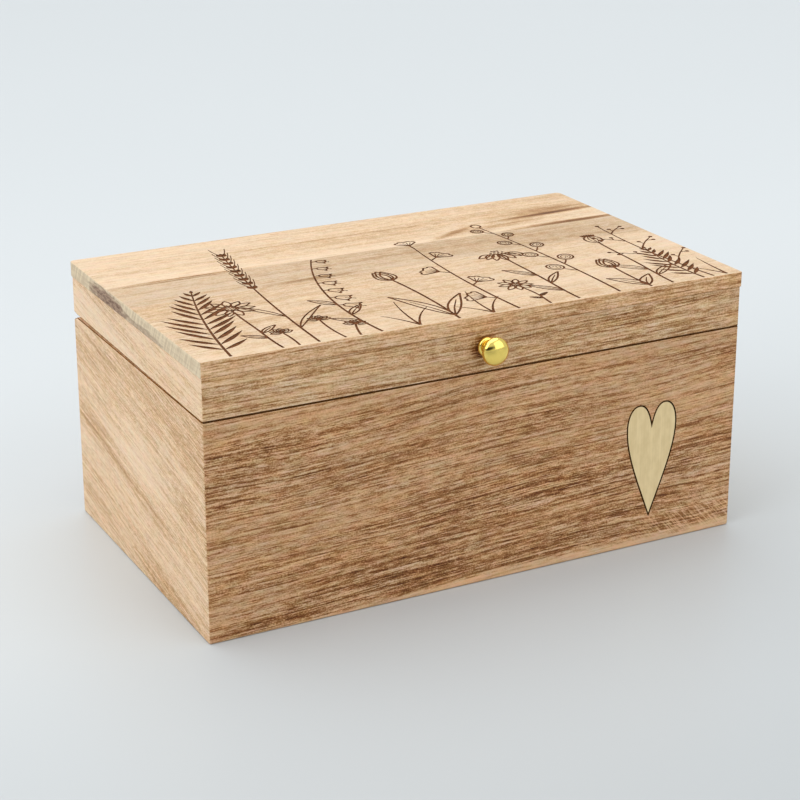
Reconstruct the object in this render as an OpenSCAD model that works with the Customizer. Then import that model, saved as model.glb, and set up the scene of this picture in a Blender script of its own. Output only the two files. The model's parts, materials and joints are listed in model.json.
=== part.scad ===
// Keepsake box of mitred boards with a hinged, edge-glued lid, a heart inlay and a turned knob.
// Origin: middle of the resting face, on the floor. +X along the width, front faces -Y, +Z up.

/* [Base] */
// Width across the outer faces of the base
box_w = 252; // [180:1:400]
// Depth from the front face to the back face
box_d = 150; // [110:1:260]
// Height of the base up to its parting face
base_h = 94.5; // [75:0.5:160]
// Thickness of the boards of base and lid
wall_t = 10; // [9.5:0.5:14]
// Radius on the two upright front corners
front_corner_r = 1; // [0.4:0.1:3]
// Radius on the two upright back corners
back_corner_r = 2.2; // [0.4:0.1:4]

/* [Bottom panel] */
// Thickness of the panel that closes the base
panel_t = 4; // [3:0.5:8]
// Width of the rebate that the panel lies in
rebate_w = 5; // [3:0.5:7]
// Gap round the panel in its rebate
panel_gap = 0.2; // [0.05:0.05:0.5]

/* [Lid] */
// Height of the lid rails at the front
rail_h = 17.8; // [16.5:0.1:40]
// Thickness of the edge-glued top board
board_t = 6.8; // [4:0.1:12]
// How far the top board stands out past the rails all round
board_overhang = 0.4; // [0:0.1:3]
// Width of the rear stave of the top board
rear_stave_w = 47.5; // [30:0.5:55]
// Width of the middle stave of the top board
middle_stave_w = 28.5; // [15:0.5:40]
// Gap between lid and base along the front edge
front_gap = 0.15; // [0.1:0.05:0.6]

/* [Back edge bevel] */
// Depth of the bevel along the back edge of base and lid
bevel_depth = 5.4; // [4.8:0.1:5.8]
// Drop of the bevel on the base at the back face
base_bevel_drop = 2.4; // [2.3:0.1:4]
// Rise of the bevel on the lid at the back face
lid_bevel_rise = 0.8; // [0.3:0.1:2]

/* [Hinges] */
// Length of a hinge along the back edge
hinge_l = 25; // [20:1:50]
// Distance from the end of the box to the middle of a hinge
hinge_from_end = 45; // [30:1:70]
// Distance from the back face in to the hinge axis
hinge_inset = 2.4; // [2:0.1:3]
// Thickness of a hinge leaf
leaf_t = 0.65; // [0.5:0.05:1]
// Play between the two closed leaves
leaf_play = 0.1; // [0.05:0.05:0.3]
// Margin from the inner edge of a leaf to the inner face of the board
leaf_margin = 0.4; // [0.2:0.1:1]
// Outer radius of the knuckles
knuckle_r = 1.5; // [1.3:0.05:1.6]
// Gap between neighbouring knuckles
knuckle_gap = 0.15; // [0.1:0.05:0.4]
// Radial clearance round the knuckles in the lid rail
knuckle_clear = 0.3; // [0.2:0.05:0.5]
// Radius of a hinge pin
pin_r = 0.8; // [0.5:0.05:0.9]
// Radial running clearance of a pin in its knuckles
pin_fit = 0.05; // [0.02:0.01:0.08]
// Radius of the peened heads of a pin
pin_head_r = 1.25; // [1.1:0.05:1.4]
// Thickness of the peened heads of a pin
pin_head_t = 0.5; // [0.3:0.1:1]

/* [Hinge screws] */
// Distance between the two screws of a leaf
screw_pitch = 17; // [12:0.5:20]
// Radius of the countersunk screw heads
screw_head_r = 1.6; // [1.4:0.05:2]
// Radius of the screw shanks
screw_shank_r = 0.9; // [0.7:0.05:1.1]
// Length of the screws, head included
screw_l = 9; // [6:0.5:11]
// Length of the screw points
screw_point_l = 2; // [1:0.5:3]
// Width of the slots in the screw heads
screw_slot_w = 0.45; // [0.3:0.05:0.6]
// Depth of the slots in the screw heads
screw_slot_depth = 0.35; // [0.2:0.05:0.45]
// Clearance round a screw
screw_fit = 0.03; // [0.01:0.01:0.1]

/* [Heart inlay] */
// Width of the heart-shaped pocket
heart_w = 25.8; // [18:0.1:40]
// Height of the pocket from its tip to the top of its lobes
heart_h = 53.4; // [36:0.1:60]
// Depth of the notch between the lobes
heart_notch = 8.7; // [5:0.1:12]
// Distance from the middle of the heart to the right end of the box
heart_from_end = 43.7; // [30:0.1:80]
// Height of the tip above the floor
heart_tip_z = 12.8; // [8:0.1:15]
// Thickness of the inlay and depth of its pocket
inlay_t = 1.5; // [1:0.1:3]
// Gap of the burnt line all round the inlay
inlay_gap = 0.4; // [0.1:0.05:0.6]

/* [Knob] */
// Height of the knob's axis above the lower edge of its rail
knob_up = 11.2; // [9:0.1:12]
// Distance of the knob from the middle of the rail, to the right
knob_off_centre = -1.5; // [-5:0.5:5]
// Radius of the knob's head
knob_head_r = 6; // [5:0.1:9]
// Depth of the knob's head, front to back
knob_head_depth = 6.6; // [5:0.1:12]
// How far the knob stands out from the rail
knob_projection = 11.5; // [10:0.1:18]
// Radius of the collar against the rail
knob_collar_r = 4.2; // [3.8:0.1:6]
// Thickness of the collar
knob_collar_t = 2.6; // [1.5:0.1:4]
// Radius of the neck behind the head
knob_neck_r = 2.9; // [2.7:0.1:3.6]

/* [Knob screw] */
// Radius of the machine screw's shank
knob_screw_r = 1.95; // [1.2:0.05:2]
// Radial clearance of the screw in the knob
knob_screw_fit = 0.05; // [0.02:0.01:0.1]
// Radial clearance of the screw in the rail
knob_hole_clear = 0.25; // [0.1:0.05:0.5]
// How far the screw reaches into the knob
knob_screw_grip = 7; // [5:0.5:8]
// Depth of the hole in the knob past the screw's end
knob_bore_spare = 0.6; // [0.2:0.1:1]
// Radius of the screw's pan head
knob_screw_head_r = 3.5; // [3:0.1:4.2]
// Height of the screw's pan head
knob_screw_head_t = 2.2; // [1.6:0.1:3]
// Width of the slot in the screw's head
knob_slot_w = 1; // [0.6:0.1:1.2]
// Depth of the slot in the screw's head
knob_slot_depth = 1.1; // [0.6:0.1:1.4]

/* [Hidden] */

wall_colour = "#b98d63";
end_colour = "#dcbf9f";
top_colour = "#ead0b0";
panel_colour = "#c9a57c";
inlay_colour = "#d8ca9c";
brass_colour = "#d9b44a";
steel_colour = "#b4b6b8";

$fn = 64;
cut = 1;
curve_steps = 12;

right_x = box_w / 2;
back_y = box_d / 2;
front_y = -box_d / 2;
inner_back_y = back_y - wall_t;
back_gap = 2 * leaf_t + leaf_play;
rail_bottom_z = base_h + front_gap;
rail_top_z = rail_bottom_z + rail_h;
lid_back_z = base_h + back_gap;
axis_y = back_y - hinge_inset;
axis_z = base_h + back_gap / 2;
hinge_x = right_x - hinge_from_end;
leaf_inner_y = inner_back_y + leaf_margin;
screw_y = inner_back_y + (wall_t - bevel_depth) / 2;
knuckle_count = 3;
knuckle_pitch = hinge_l / knuckle_count;
relief_r = knuckle_r + knuckle_clear;
relief_l = hinge_l + 2 * (pin_head_t + knuckle_clear);
knob_x = knob_off_centre;
knob_z = rail_bottom_z + knob_up;
heart_x = right_x - heart_from_end;

// One point of a cubic curve through four control points
function cubic(p, t) =
    pow(1 - t, 3) * p[0] + 3 * t * pow(1 - t, 2) * p[1]
    + 3 * t * t * (1 - t) * p[2] + pow(t, 3) * p[3];

// Direction of that curve
function cubic_slope(p, t) =
    pow(1 - t, 2) * (p[1] - p[0]) + 2 * t * (1 - t) * (p[2] - p[1]) + t * t * (p[3] - p[2]);

// Control points of the right half of the heart: inside of the lobe, outside of the lobe, long side
heart_half_w = heart_w / 2;
lobe_x = heart_half_w * 0.51;
notch_z = heart_h - heart_notch;
shoulder_z = heart_h * 0.8;
heart_curves = [
    [[0, notch_z], [lobe_x * 0.2, notch_z + heart_notch * 0.62], [lobe_x * 0.5, heart_h], [lobe_x, heart_h]],
    [[lobe_x, heart_h], [heart_half_w * 0.83, heart_h], [heart_half_w, heart_h * 0.91],
        [heart_half_w, shoulder_z]],
    [[heart_half_w, shoulder_z], [heart_half_w, heart_h * 0.58], [heart_half_w * 0.52, heart_h * 0.33],
        [0, 0]]];

// Half angles at the notch and the tip, for an even inset
notch_angle = atan2(heart_curves[0][1][0], heart_curves[0][1][1] - notch_z);
tip_angle = atan2(heart_curves[2][2][0], heart_curves[2][2][1]);

// Points of the right half, drawn in by an inset
function heart_side(inset) = [
    for (c = heart_curves) for (i = [0 : curve_steps])
        let (
            t = i / curve_steps,
            p = cubic(c, t),
            d = cubic_slope(c, t),
            q = p + inset * [d[1], -d[0]] / norm(d))
        if (q[0] > 0.01 && (i > 0 || c == heart_curves[0])) q];

module heart_outline(inset) {
    side = heart_side(inset);
    last = len(side) - 1;
    top = [0, notch_z - inset / sin(notch_angle)];
    tip = [0, inset / sin(tip_angle)];
    left = [for (i = [last : -1 : 0]) [-side[i][0], side[i][1]]];
    polygon(concat([top], side, [tip], left));
}

// Corner of the outline to be taken off, in the quarter where x and y are positive
module corner_waste(r) {
    difference() {
        translate([-cut, -cut]) square(r + cut);
        translate([r, r]) circle(r);
    }
}

// Outline of the box in plan, w by d, with its four corners eased
module plan_outline(w, d) {
    difference() {
        square([w, d], center = true);
        for (side = [0, 1]) mirror([side, 0]) {
            translate([-w / 2, -d / 2]) corner_waste(front_corner_r);
            translate([-w / 2, d / 2]) mirror([0, 1]) corner_waste(back_corner_r);
        }
    }
}

// Plan of one mitred board along an edge of length run, d away across the box
module mitred_plan(run, across) {
    intersection() {
        plan_outline(box_w, box_d);
        rotate(across[1]) translate([0, -across[0] / 2])
            polygon([[-run / 2, 0], [run / 2, 0], [run / 2 - wall_t, wall_t], [-run / 2 + wall_t, wall_t]]);
    }
}

module front_plan() { mitred_plan(box_w, [box_d, 0]); }
module back_plan() { mitred_plan(box_w, [box_d, 180]); }
module left_plan() { mitred_plan(box_d, [box_w, -90]); }
module right_plan() { mitred_plan(box_d, [box_w, 90]); }

// A profile in Y and Z, drawn out along the width of the box
module along_x(length) {
    rotate([90, 0, 90]) linear_extrude(length, center = true) children();
}

// Waste of the bevel along the back edge, from the face at z by rise (up is 1, down is -1)
module bevel_waste(z, rise, way) {
    start_y = back_y - bevel_depth;
    end_y = back_y + cut;
    end_z = z + way * rise * (bevel_depth + cut) / bevel_depth;
    along_x(box_w + 2 * cut)
        polygon([[start_y, z], [end_y, end_z], [end_y, z - way * cut], [start_y, z - way * cut]]);
}

// Cylinder along X about the hinge axis, from x0 to x1
module about_axis(x0, x1, r) {
    translate([x0, axis_y, axis_z]) rotate([0, 90, 0]) cylinder(h = x1 - x0, r = r);
}

// Room for the knuckles and the pin heads of both hinges
module hinge_reliefs() {
    for (x = [-hinge_x, hinge_x]) about_axis(x - relief_l / 2, x + relief_l / 2, relief_r);
}

// One countersunk screw, head up at the origin and larger all round by grow
module hinge_screw(grow) {
    end_z = -screw_l - grow;
    rotate_extrude() polygon([
        [0, 0], [screw_head_r + grow, 0], [screw_shank_r + grow, -leaf_t],
        [screw_shank_r + grow, end_z + screw_point_l], [0, end_z]]);
}

// Places of the hinge screws along X, on both hinges
screw_places = [for (x = [-hinge_x, hinge_x], s = [-1, 1]) x + s * screw_pitch / 2];

module at_base_screws() {
    for (x = screw_places) translate([x, screw_y, base_h + leaf_t]) children();
}

module at_lid_screws() {
    for (x = screw_places) translate([x, screw_y, lid_back_z - leaf_t]) mirror([0, 0, 1]) children();
}

module screw_solid() {
    difference() {
        hinge_screw(0);
        translate([-screw_head_r - cut, -screw_slot_w / 2, -screw_slot_depth])
            cube([2 * (screw_head_r + cut), screw_slot_w, screw_slot_depth + cut]);
    }
}

// One board of the base: its plan drawn up, less the panel rebate and the back bevel
module base_board() {
    rebate = [box_w - 2 * (wall_t - rebate_w), box_d - 2 * (wall_t - rebate_w)];
    difference() {
        linear_extrude(base_h) children();
        translate([-rebate[0] / 2, -rebate[1] / 2, -cut]) cube([rebate[0], rebate[1], panel_t + cut]);
        bevel_waste(base_h, base_bevel_drop, -1);
    }
}

module front_wall() {
    color(wall_colour) difference() {
        base_board() front_plan();
        translate([heart_x, front_y + inlay_t, heart_tip_z]) rotate([90, 0, 0])
            linear_extrude(inlay_t + cut) heart_outline(0);
    }
}

module back_wall() {
    color(wall_colour) difference() {
        base_board() back_plan();
        hinge_reliefs();
        at_base_screws() hinge_screw(screw_fit);
    }
}

module left_wall() { color(end_colour) base_board() left_plan(); }
module right_wall() { color(end_colour) base_board() right_plan(); }

module bottom_panel() {
    panel_w = box_w - 2 * (wall_t - rebate_w) - 2 * panel_gap;
    panel_d = box_d - 2 * (wall_t - rebate_w) - 2 * panel_gap;
    color(panel_colour) translate([-panel_w / 2, -panel_d / 2, 0]) cube([panel_w, panel_d, panel_t]);
}

module heart_inlay() {
    color(inlay_colour) translate([heart_x, front_y + inlay_t, heart_tip_z]) rotate([90, 0, 0])
        linear_extrude(inlay_t) heart_outline(inlay_gap);
}

// One rail of the lid: its underside rises from the front gap to the hinge leaves at the back
module lid_rail() {
    difference() {
        intersection() {
            translate([0, 0, base_h]) linear_extrude(rail_top_z - base_h) children();
            along_x(box_w + 2 * cut) polygon([
                [front_y, rail_bottom_z], [inner_back_y, lid_back_z], [back_y, lid_back_z],
                [back_y, rail_top_z], [front_y, rail_top_z]]);
        }
        bevel_waste(lid_back_z, lid_bevel_rise, 1);
    }
}

module lid_front_rail() {
    color(wall_colour) difference() {
        lid_rail() front_plan();
        translate([knob_x, front_y - cut, knob_z]) rotate([-90, 0, 0])
            cylinder(h = wall_t + 2 * cut, r = knob_screw_r + knob_hole_clear);
    }
}

module lid_back_rail() {
    color(wall_colour) difference() {
        lid_rail() back_plan();
        hinge_reliefs();
        at_lid_screws() hinge_screw(screw_fit);
    }
}

module lid_left_rail() { color(end_colour) lid_rail() left_plan(); }
module lid_right_rail() { color(end_colour) lid_rail() right_plan(); }

// One stave of the top board, from y0 to y1
module stave(y0, y1) {
    board_w = box_w + 2 * board_overhang;
    color(top_colour) translate([0, 0, rail_top_z]) linear_extrude(board_t) intersection() {
        plan_outline(board_w, box_d + 2 * board_overhang);
        translate([-board_w / 2, y0]) square([board_w, y1 - y0]);
    }
}

rear_joint_y = back_y + board_overhang - rear_stave_w;
middle_joint_y = rear_joint_y - middle_stave_w;

module lid_rear_stave() { stave(rear_joint_y, back_y + board_overhang); }
module lid_middle_stave() { stave(middle_joint_y, rear_joint_y); }
module lid_front_stave() { stave(front_y - board_overhang, middle_joint_y); }

// Knuckles of one leaf of the hinge centred at x; each knuckle larger by grow and longer by extra
module knuckles(x, which, grow, extra) {
    for (i = which) {
        x0 = x - hinge_l / 2 + i * knuckle_pitch;
        about_axis(x0 + knuckle_gap / 2 - extra, x0 + knuckle_pitch - knuckle_gap / 2 + extra,
            knuckle_r + grow);
    }
}

base_knuckles = [0, 2];
lid_knuckles = [1];

// Leaf with its own knuckles, notched round the other leaf's and bored for the pin
module hinge_leaf(x, z, own, other) {
    difference() {
        union() {
            translate([x - hinge_l / 2, leaf_inner_y, z]) cube([hinge_l, axis_y - leaf_inner_y, leaf_t]);
            knuckles(x, own, 0, 0);
        }
        knuckles(x, other, knuckle_clear, knuckle_gap);
        about_axis(x - hinge_l / 2 - cut, x + hinge_l / 2 + cut, pin_r + pin_fit);
    }
}

module base_leaf(x) {
    color(brass_colour) difference() {
        hinge_leaf(x, base_h, base_knuckles, lid_knuckles);
        at_base_screws() hinge_screw(screw_fit);
    }
}

module lid_leaf(x) {
    color(brass_colour) difference() {
        hinge_leaf(x, lid_back_z - leaf_t, lid_knuckles, base_knuckles);
        at_lid_screws() hinge_screw(screw_fit);
    }
}

// Pin with a peened head at each end
module hinge_pin(x) {
    color(brass_colour) {
        about_axis(x - hinge_l / 2, x + hinge_l / 2, pin_r);
        about_axis(x - hinge_l / 2 - pin_head_t, x - hinge_l / 2, pin_head_r);
        about_axis(x + hinge_l / 2, x + hinge_l / 2 + pin_head_t, pin_head_r);
    }
}

module left_hinge_base_leaf() { base_leaf(-hinge_x); }
module right_hinge_base_leaf() { base_leaf(hinge_x); }
module left_hinge_lid_leaf() { lid_leaf(-hinge_x); }
module right_hinge_lid_leaf() { lid_leaf(hinge_x); }
module left_hinge_pin() { hinge_pin(-hinge_x); }
module right_hinge_pin() { hinge_pin(hinge_x); }
module base_hinge_screws() { color(brass_colour) at_base_screws() screw_solid(); }
module lid_hinge_screws() { color(brass_colour) at_lid_screws() screw_solid(); }

// Half profile of the knob as radius and distance from the rail: collar, neck and head
knob_bead_r = knob_collar_t / 2;
head_centre = knob_projection - knob_head_depth / 2;
head_back = asin(knob_neck_r / knob_head_r);
neck_end = head_centre - cos(head_back) * knob_head_depth / 2;
knob_profile = concat(
    [[0, 0]],
    [for (i = [0 : curve_steps])
        let (a = -90 + 180 * i / curve_steps)
        [knob_collar_r - knob_bead_r * (1 - cos(a)), knob_bead_r * (1 + sin(a))]],
    [for (i = [1 : curve_steps - 1])
        let (t = i / curve_steps)
        [knob_neck_r + (knob_collar_r - knob_bead_r - knob_neck_r) * pow(1 - t, 3),
            knob_collar_t + (neck_end - knob_collar_t) * t]],
    [for (i = [0 : 2 * curve_steps])
        let (a = 180 - head_back - (180 - head_back) * i / (2 * curve_steps))
        [knob_head_r * sin(a), head_centre + cos(a) * knob_head_depth / 2]]);

module knob() {
    color(brass_colour) translate([knob_x, front_y, knob_z]) rotate([90, 0, 0]) difference() {
        rotate_extrude() polygon(knob_profile);
        translate([0, 0, -cut])
            cylinder(h = cut + knob_screw_grip + knob_bore_spare, r = knob_screw_r + knob_screw_fit);
    }
}

// Pan-head machine screw from inside the lid, through the rail and into the knob
module knob_screw() {
    edge_r = knob_screw_head_t / 2;
    color(steel_colour) translate([knob_x, front_y + wall_t, knob_z]) rotate([90, 0, 0]) difference() {
        union() {
            cylinder(h = wall_t + knob_screw_grip, r = knob_screw_r);
            mirror([0, 0, 1]) rotate_extrude() {
                square([knob_screw_head_r - edge_r, knob_screw_head_t]);
                square([knob_screw_head_r, edge_r]);
                intersection() {
                    translate([knob_screw_head_r - edge_r, edge_r]) circle(edge_r);
                    translate([0, edge_r]) square([knob_screw_head_r, edge_r]);
                }
            }
        }
        translate([-knob_screw_head_r - cut, -knob_slot_w / 2, -knob_screw_head_t - cut])
            cube([2 * (knob_screw_head_r + cut), knob_slot_w, knob_slot_depth + cut]);
    }
}

front_wall();
back_wall();
left_wall();
right_wall();
bottom_panel();
heart_inlay();
left_hinge_base_leaf();
right_hinge_base_leaf();
left_hinge_pin();
right_hinge_pin();
base_hinge_screws();
lid_front_rail();
lid_back_rail();
lid_left_rail();
lid_right_rail();
lid_rear_stave();
lid_middle_stave();
lid_front_stave();
left_hinge_lid_leaf();
right_hinge_lid_leaf();
lid_hinge_screws();
knob();
knob_screw();
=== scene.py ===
"""Dresses the keepsake box: oiled acacia boards, an engraved lid, a pale heart inlay and polished brass."""

import json
import math
import random

import bmesh
import bpy
from bpy.props import FloatProperty, FloatVectorProperty, IntProperty, PointerProperty
from mathutils import Matrix, Vector, geometry

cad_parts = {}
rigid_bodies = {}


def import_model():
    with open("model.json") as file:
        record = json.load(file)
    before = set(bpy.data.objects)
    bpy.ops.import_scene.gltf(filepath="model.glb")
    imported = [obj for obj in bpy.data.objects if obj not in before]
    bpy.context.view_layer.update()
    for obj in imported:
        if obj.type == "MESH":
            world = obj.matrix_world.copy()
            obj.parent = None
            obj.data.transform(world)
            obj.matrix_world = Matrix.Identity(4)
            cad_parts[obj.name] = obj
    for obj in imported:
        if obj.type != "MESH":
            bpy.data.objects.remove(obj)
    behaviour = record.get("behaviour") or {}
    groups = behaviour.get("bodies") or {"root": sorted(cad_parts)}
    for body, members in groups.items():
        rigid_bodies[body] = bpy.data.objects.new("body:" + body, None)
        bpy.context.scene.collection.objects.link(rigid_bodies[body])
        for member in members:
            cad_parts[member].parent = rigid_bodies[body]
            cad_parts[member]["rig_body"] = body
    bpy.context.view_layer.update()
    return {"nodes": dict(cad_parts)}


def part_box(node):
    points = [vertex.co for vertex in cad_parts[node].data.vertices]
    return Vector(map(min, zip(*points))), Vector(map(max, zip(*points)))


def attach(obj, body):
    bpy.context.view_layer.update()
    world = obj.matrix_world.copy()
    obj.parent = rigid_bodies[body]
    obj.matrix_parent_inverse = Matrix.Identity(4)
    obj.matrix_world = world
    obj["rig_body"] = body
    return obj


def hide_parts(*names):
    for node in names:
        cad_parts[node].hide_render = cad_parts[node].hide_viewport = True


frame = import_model()

bl_info = {
    "name": "Keepsake Box",
    "version": (1, 0, 0),
    "blender": (4, 5, 0),
    "location": "View3D > Sidebar > Keepsake Box",
    "description": "Finishes a hinged wooden keepsake box with grain, engraving, inlay and brass",
    "category": "Object",
}

MM = 0.001
CLOSE = 0.01 * MM
MARGIN = 3 * MM

BASE_LOW, BASE_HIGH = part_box("front_wall")
HALF_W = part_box("right_wall")[1].x
HALF_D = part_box("back_wall")[1].y
WALL_T = BASE_HIGH.y - BASE_LOW.y

# The ways along and up each side of the box, seen from outside
FRONT_SIDE = ((1, 0, 0), (0, 0, 1))
BACK_SIDE = ((-1, 0, 0), (0, 0, 1))
LEFT_SIDE = ((0, -1, 0), (0, 0, 1))
RIGHT_SIDE = ((0, 1, 0), (0, 0, 1))
TOP_SIDE = ((1, 0, 0), (0, 1, 0))


def tint(name, description, default):
    """A setting that is a colour."""
    return FloatVectorProperty(name=name, description=description, default=default, subtype="COLOR", size=3,
                               min=0, max=1)


def measure(name, description, default, least=0.05, most=1.0):
    """A setting that is a length, given here in millimetres."""
    return FloatProperty(name=name, description=description, default=default * MM, min=least * MM,
                         max=most * MM, unit="LENGTH", precision=5)


class WoodLook(bpy.types.PropertyGroup):
    """Colours and edge sizes of the acacia boards."""

    ease: measure("Edge ease", "Rounding of the long outer edges of the boards", 0.45, most=1.5)
    foot_ease: measure("Foot ease", "Rounding of the edges that the box stands on", 1.1, most=1.5)
    inner_ease: measure("Inner ease", "Rounding of the edges inside the box", 0.2)
    joint_ease: measure("Glue joint", "Half width of the fine line between two glued staves", 0.04, 0.0, 0.3)
    parting_ease: measure("Parting ease", "Rounding of the edges that meet where the lid closes", 0.36)
    # Painted shade: the dark line of the gap where the lid closes is painted into the eased edges beside it
    parting: tint("Parting shade", "Darkened wood at the edges where the lid closes", (0.060, 0.022, 0.004))
    wall: tint("Wall wood", "Ground colour of the front and back boards", (0.605, 0.345, 0.168))
    pale: tint("Pale wood", "Ground colour of the side boards", (0.852, 0.605, 0.390))
    top: tint("Top wood", "Ground colour of the top board", (0.720, 0.530, 0.353))
    end_grain: tint("End grain", "Sawn ends of the top board", (0.780, 0.645, 0.450))
    end_shade: tint("End grain shade", "Darker rings in the ends of the top board", (0.620, 0.485, 0.325))
    knot: tint("Knot", "Dark knot in the end of the top board", (0.150, 0.075, 0.045))
    figure: FloatVectorProperty(
        name="Grain tint", description="How strongly the grain darkens red, green and blue",
        size=3, default=(0.66, 0.97, 1.45), min=0, max=3)


class EngravingLook(bpy.types.PropertyGroup):
    """Width, depth and colour of the plants engraved in the lid."""

    line: measure("Line width", "Width of an engraved stem", 1.12, 0.2, 2)
    depth: measure("Line depth", "Depth of the engraved lines", 0.3)
    seed: IntProperty(
        name="Seed", description="Changes the small irregularities of the plants",
        default=7, min=0, max=999)
    burnt: tint("Burnt wood", "Colour of the engraved lines", (0.105, 0.042, 0.018))


class InlayLook(bpy.types.PropertyGroup):
    """The veneer of the heart."""

    veneer: tint("Veneer", "Ground colour of the heart", (0.915, 0.722, 0.402))
    veneer_shade: tint("Veneer shade", "Darker figure of the heart", (0.800, 0.615, 0.320))
    burnt: tint("Burnt edge", "Colour of the heart's edge and of its pocket", (0.045, 0.018, 0.003))
    ease: measure("Edge ease", "Rounding of the heart's face edge", 0.30, 0.0, 0.5)


class BrassLook(bpy.types.PropertyGroup):
    """Brass and steel."""

    polished: tint("Polished brass", "Colour of the knob", (1.000, 0.755, 0.190))
    satin: tint("Satin brass", "Colour of hinges and screws", (0.760, 0.560, 0.230))
    zinc: tint("Zinc", "Colour of the knob's screw", (0.600, 0.610, 0.620))
    turns: IntProperty(
        name="Turning steps", description="Faces round the turned knob",
        default=96, min=16, max=256)


class StageLook(bpy.types.PropertyGroup):
    """Floor, light and camera."""

    floor: tint("Floor", "Colour of the floor", (0.670, 0.706, 0.728))
    aim: FloatVectorProperty(
        name="Aim", description="Point on the camera's axis nearest the box",
        subtype="TRANSLATION", size=3, default=(-0.0401, -0.0738, 0.1225), unit="LENGTH")
    azimuth: FloatProperty(
        name="Azimuth", description="Turn of the camera round the box",
        default=math.radians(-27.61), subtype="ANGLE")
    elevation: FloatProperty(
        name="Elevation", description="Height of the camera above the horizon",
        default=math.radians(18.47), subtype="ANGLE")
    distance: FloatProperty(
        name="Distance", description="From the camera to the aim",
        default=0.8097, min=0.1, max=5.0, unit="LENGTH")
    lens: FloatProperty(
        name="Lens", description="Focal length on a 36 mm sensor",
        default=91.84, min=20.0, max=300.0)
    shift: FloatProperty(
        name="Shift", description="Vertical shift of the lens",
        default=-0.1, min=-0.5, max=0.5)


class KeepsakeBoxLook(bpy.types.PropertyGroup):
    """Everything that the panel shows."""

    wood: PointerProperty(type=WoodLook)
    engraving: PointerProperty(type=EngravingLook)
    inlay: PointerProperty(type=InlayLook)
    brass: PointerProperty(type=BrassLook)
    stage: PointerProperty(type=StageLook)


# Shader nodes

class Wire:
    """An output of a shader node; a sum with it adds the nodes that work it out."""

    def __init__(self, nodes, socket):
        self.nodes = nodes
        self.socket = socket
        self.is_vector = socket.type == "VECTOR"

    def __add__(self, other):
        return self.nodes.math("ADD", self, other)

    def __sub__(self, other):
        return self.nodes.math("SUBTRACT", self, other)

    def __rsub__(self, other):
        return self.nodes.math("SUBTRACT", other, self)

    def __mul__(self, other):
        return self.nodes.math("MULTIPLY", self, other)


class Nodes:
    """A shader tree, and short calls that add and link its nodes."""

    def __init__(self, tree):
        self.tree = tree
        self.tree.nodes.clear()

    def node(self, kind, values=None, **settings):
        """Adds a node; values feed its inputs by name or number."""
        node = self.tree.nodes.new("ShaderNode" + kind)
        for key, value in settings.items():
            setattr(node, key, value)
        for key, value in (values or {}).items():
            if isinstance(value, Wire):
                self.tree.links.new(value.socket, node.inputs[key])
            else:
                node.inputs[key].default_value = value
        return node

    def add(self, kind, values=None, out=0, **settings):
        """Adds a node and returns one of its outputs."""
        return Wire(self, self.node(kind, values, **settings).outputs[out])

    def math(self, operation, a, b=0.0):
        """One arithmetic step, on vectors if either value is one."""
        is_vector = any(isinstance(value, tuple) or getattr(value, "is_vector", False) for value in (a, b))
        return self.add("VectorMath" if is_vector else "Math", {0: a, 1: b}, operation=operation)

    def length(self, vector):
        """Length of a vector."""
        return self.add("VectorMath", {0: vector}, "Value", operation="LENGTH")

    def split(self, vector):
        """The three parts of a vector."""
        return [Wire(self, part) for part in self.node("SeparateXYZ", {0: vector}).outputs]

    def noise(self, vector, cell, detail=2.0, roughness=0.5, distortion=0.0):
        """Noise whose cells measure cell = (along, across, deep) in millimetres; values near 0 to 1."""
        values = {"Vector": vector * tuple(1.0 / size for size in cell), "Scale": 1.0, "Detail": detail,
                  "Roughness": roughness, "Distortion": distortion}
        return self.add("TexNoise", values, "Fac")

    def band(self, value, low, high, start=0.0, end=1.0):
        """Maps low..high to start..end, smoothly and clamped."""
        values = {"Value": value, "From Min": low, "From Max": high, "To Min": start, "To Max": end}
        return self.add("MapRange", values, "Result", interpolation_type="SMOOTHSTEP")

    def mix(self, factor, a, b, blend="MIX"):
        """Mixes two colours."""
        a, b = (value if isinstance(value, Wire) else (*value, 1.0) for value in (a, b))
        return self.add("Mix", {0: factor, 6: a, 7: b}, 2, data_type="RGBA", blend_type=blend)

    def stained(self, colour, tones):
        """The colour made paler or darker: tones is the logarithm of the change of red, green and blue."""
        change = [self.math("POWER", math.e, part) for part in self.split(tones)]
        return self.mix(1.0, colour, self.add("CombineXYZ", dict(zip("XYZ", change))), "MULTIPLY")

    def bump(self, height, depth, strength=1.0, under=None):
        """A bump of a depth in millimetres, over another one if given."""
        values = {"Height": height, "Distance": depth * MM, "Strength": strength}
        if under is not None:
            values["Normal"] = under
        return self.add("Bump", values)

    def place(self, side, tilt=0.0):
        """Board coordinates in millimetres: along the grain, across it and into the board.

        tilt turns the pattern in the plane of the board's face."""
        along, up = Vector(side[0]), Vector(side[1])
        deep = along.cross(up)
        turn = Matrix.Rotation(tilt, 3, deep)
        rows = Matrix((turn @ along, turn @ up, deep))
        values = {"Vector": self.add("TexCoord", out="Object"), "Rotation": rows.to_euler("XYZ"),
                  "Scale": (1 / MM, 1 / MM, 1 / MM)}
        return self.add("Mapping", values, vector_type="POINT")

    def oval(self, home, centre_u, centre_v, half_u, half_v, turn=0.0):
        """Distance from the middle of an oval patch, 1 at its rim."""
        values = {"Vector": home, "Location": (centre_u, centre_v, 0), "Rotation": (0, 0, turn),
                  "Scale": (half_u, half_v, 1000)}
        return self.length(self.add("Mapping", values, vector_type="TEXTURE"))


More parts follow.
